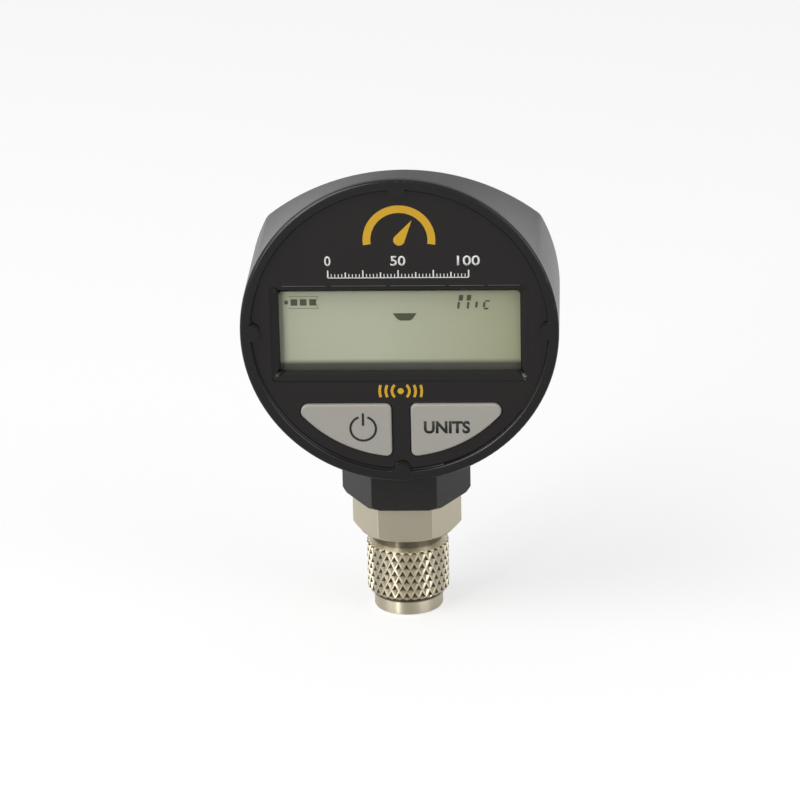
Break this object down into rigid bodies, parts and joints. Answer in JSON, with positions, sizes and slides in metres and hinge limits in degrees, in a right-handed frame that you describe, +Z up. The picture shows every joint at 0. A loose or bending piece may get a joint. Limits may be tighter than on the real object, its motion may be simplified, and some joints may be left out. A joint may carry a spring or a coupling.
{
  "type": "digital vacuum gauge",
  "caption": "Round digital vacuum gauge with a display and two keys, on a hexagonal sensor body with a diamond-knurled swivel flare nut.",
  "frame": {"origin": "centre of the swivel nut's mouth, where the thread's bore begins", "axes": "+Z up the stem from the nut to the top of the case, -Y out of the face, +X to the right seen from the front"},
  "size_m": [0.062, 0.0294, 0.095],
  "materials": {
    "case_black": "fine satin moulding texture",
    "label_black": "glossy printed film",
    "window_clear": "clear, polished",
    "lcd_glass": "reflective green-grey display",
    "lcd_holder": "moulded black",
    "connector_strip": "elastomer",
    "key_rubber": "silky translucent silicone",
    "mat_rubber": "silicone",
    "carbon": "carbon filled",
    "pad_gold": "gold-plated",
    "board_green": "solder mask",
    "chip_black": "moulded package",
    "tinned_steel": "tinned",
    "screw_steel": "zinc-plated",
    "capacitor": "ceramic",
    "socket_cream": "moulded",
    "cell_jacket": "plain jacket",
    "contact_spring": "nickel-plated spring steel",
    "collar_black": "satin black",
    "seal_rubber": "nitrile",
    "nickel_brass": "nickel-plated, turned",
    "copper": "soft copper",
    "header_metal": "plated header",
    "bead_glass": "glass-coated bead",
    "flex_film": "amber film",
    "ring_steel": "spring wire",
    "nut_nickel": "nickel-plated, knurled"
  },
  "bodies": {
    "gauge": {"front_cover": "case_black", "face_label": "label_black", "display_window": "window_clear", "lcd_panel": "lcd_glass", "lcd_holder": "lcd_holder", "lcd_connector": "connector_strip", "keypad_mat": "mat_rubber", "key_contacts": "pad_gold", "main_board": "board_green", "board_screws": "screw_steel", "controller_chip": "chip_black", "radio_board": "board_green", "radio_shield": "tinned_steel", "crystal": "tinned_steel", "capacitors": "capacitor", "sensor_socket": "socket_cream", "rear_shell": "case_black", "case_gasket": "seal_rubber", "case_screws": "screw_steel", "battery_door": "case_black", "cell_1": "cell_jacket", "cell_2": "cell_jacket", "contact_bridge": "contact_spring", "contact_positive": "contact_spring", "contact_negative": "contact_spring", "hex_collar": "collar_black", "collar_gasket": "seal_rubber", "sensor_oring": "seal_rubber", "sensor_body": "nickel_brass", "sensor_header": "header_metal", "thermistor_bead": "bead_glass", "sensor_board": "board_green", "sensor_flex": "flex_film", "lock_washer": "screw_steel", "lock_nut": "nickel_brass", "flare_gasket": "copper", "depressor": "nickel_brass", "nut_ring": "ring_steel"},
    "power_key": {"power_key": "key_rubber", "power_pill": "carbon"},
    "units_key": {"units_key": "key_rubber", "units_pill": "carbon"},
    "swivel_nut": {"knurled_nut": "nut_nickel"}
  },
  "joints": [
    {"name": "power_press", "type": "slide", "parent": "gauge", "child": "power_key", "axis": [0, 1, 0], "range_m": [0, 0.0008], "stiffness_N_per_m": 200},
    {"name": "units_press", "type": "slide", "parent": "gauge", "child": "units_key", "axis": [0, 1, 0], "range_m": [0, 0.0008], "stiffness_N_per_m": 200},
    {"name": "nut_swivel", "type": "hinge", "parent": "gauge", "child": "swivel_nut", "pos_m": [0, 0, 0.008], "axis": [0, 0, 1], "continuous": true}
  ]
}
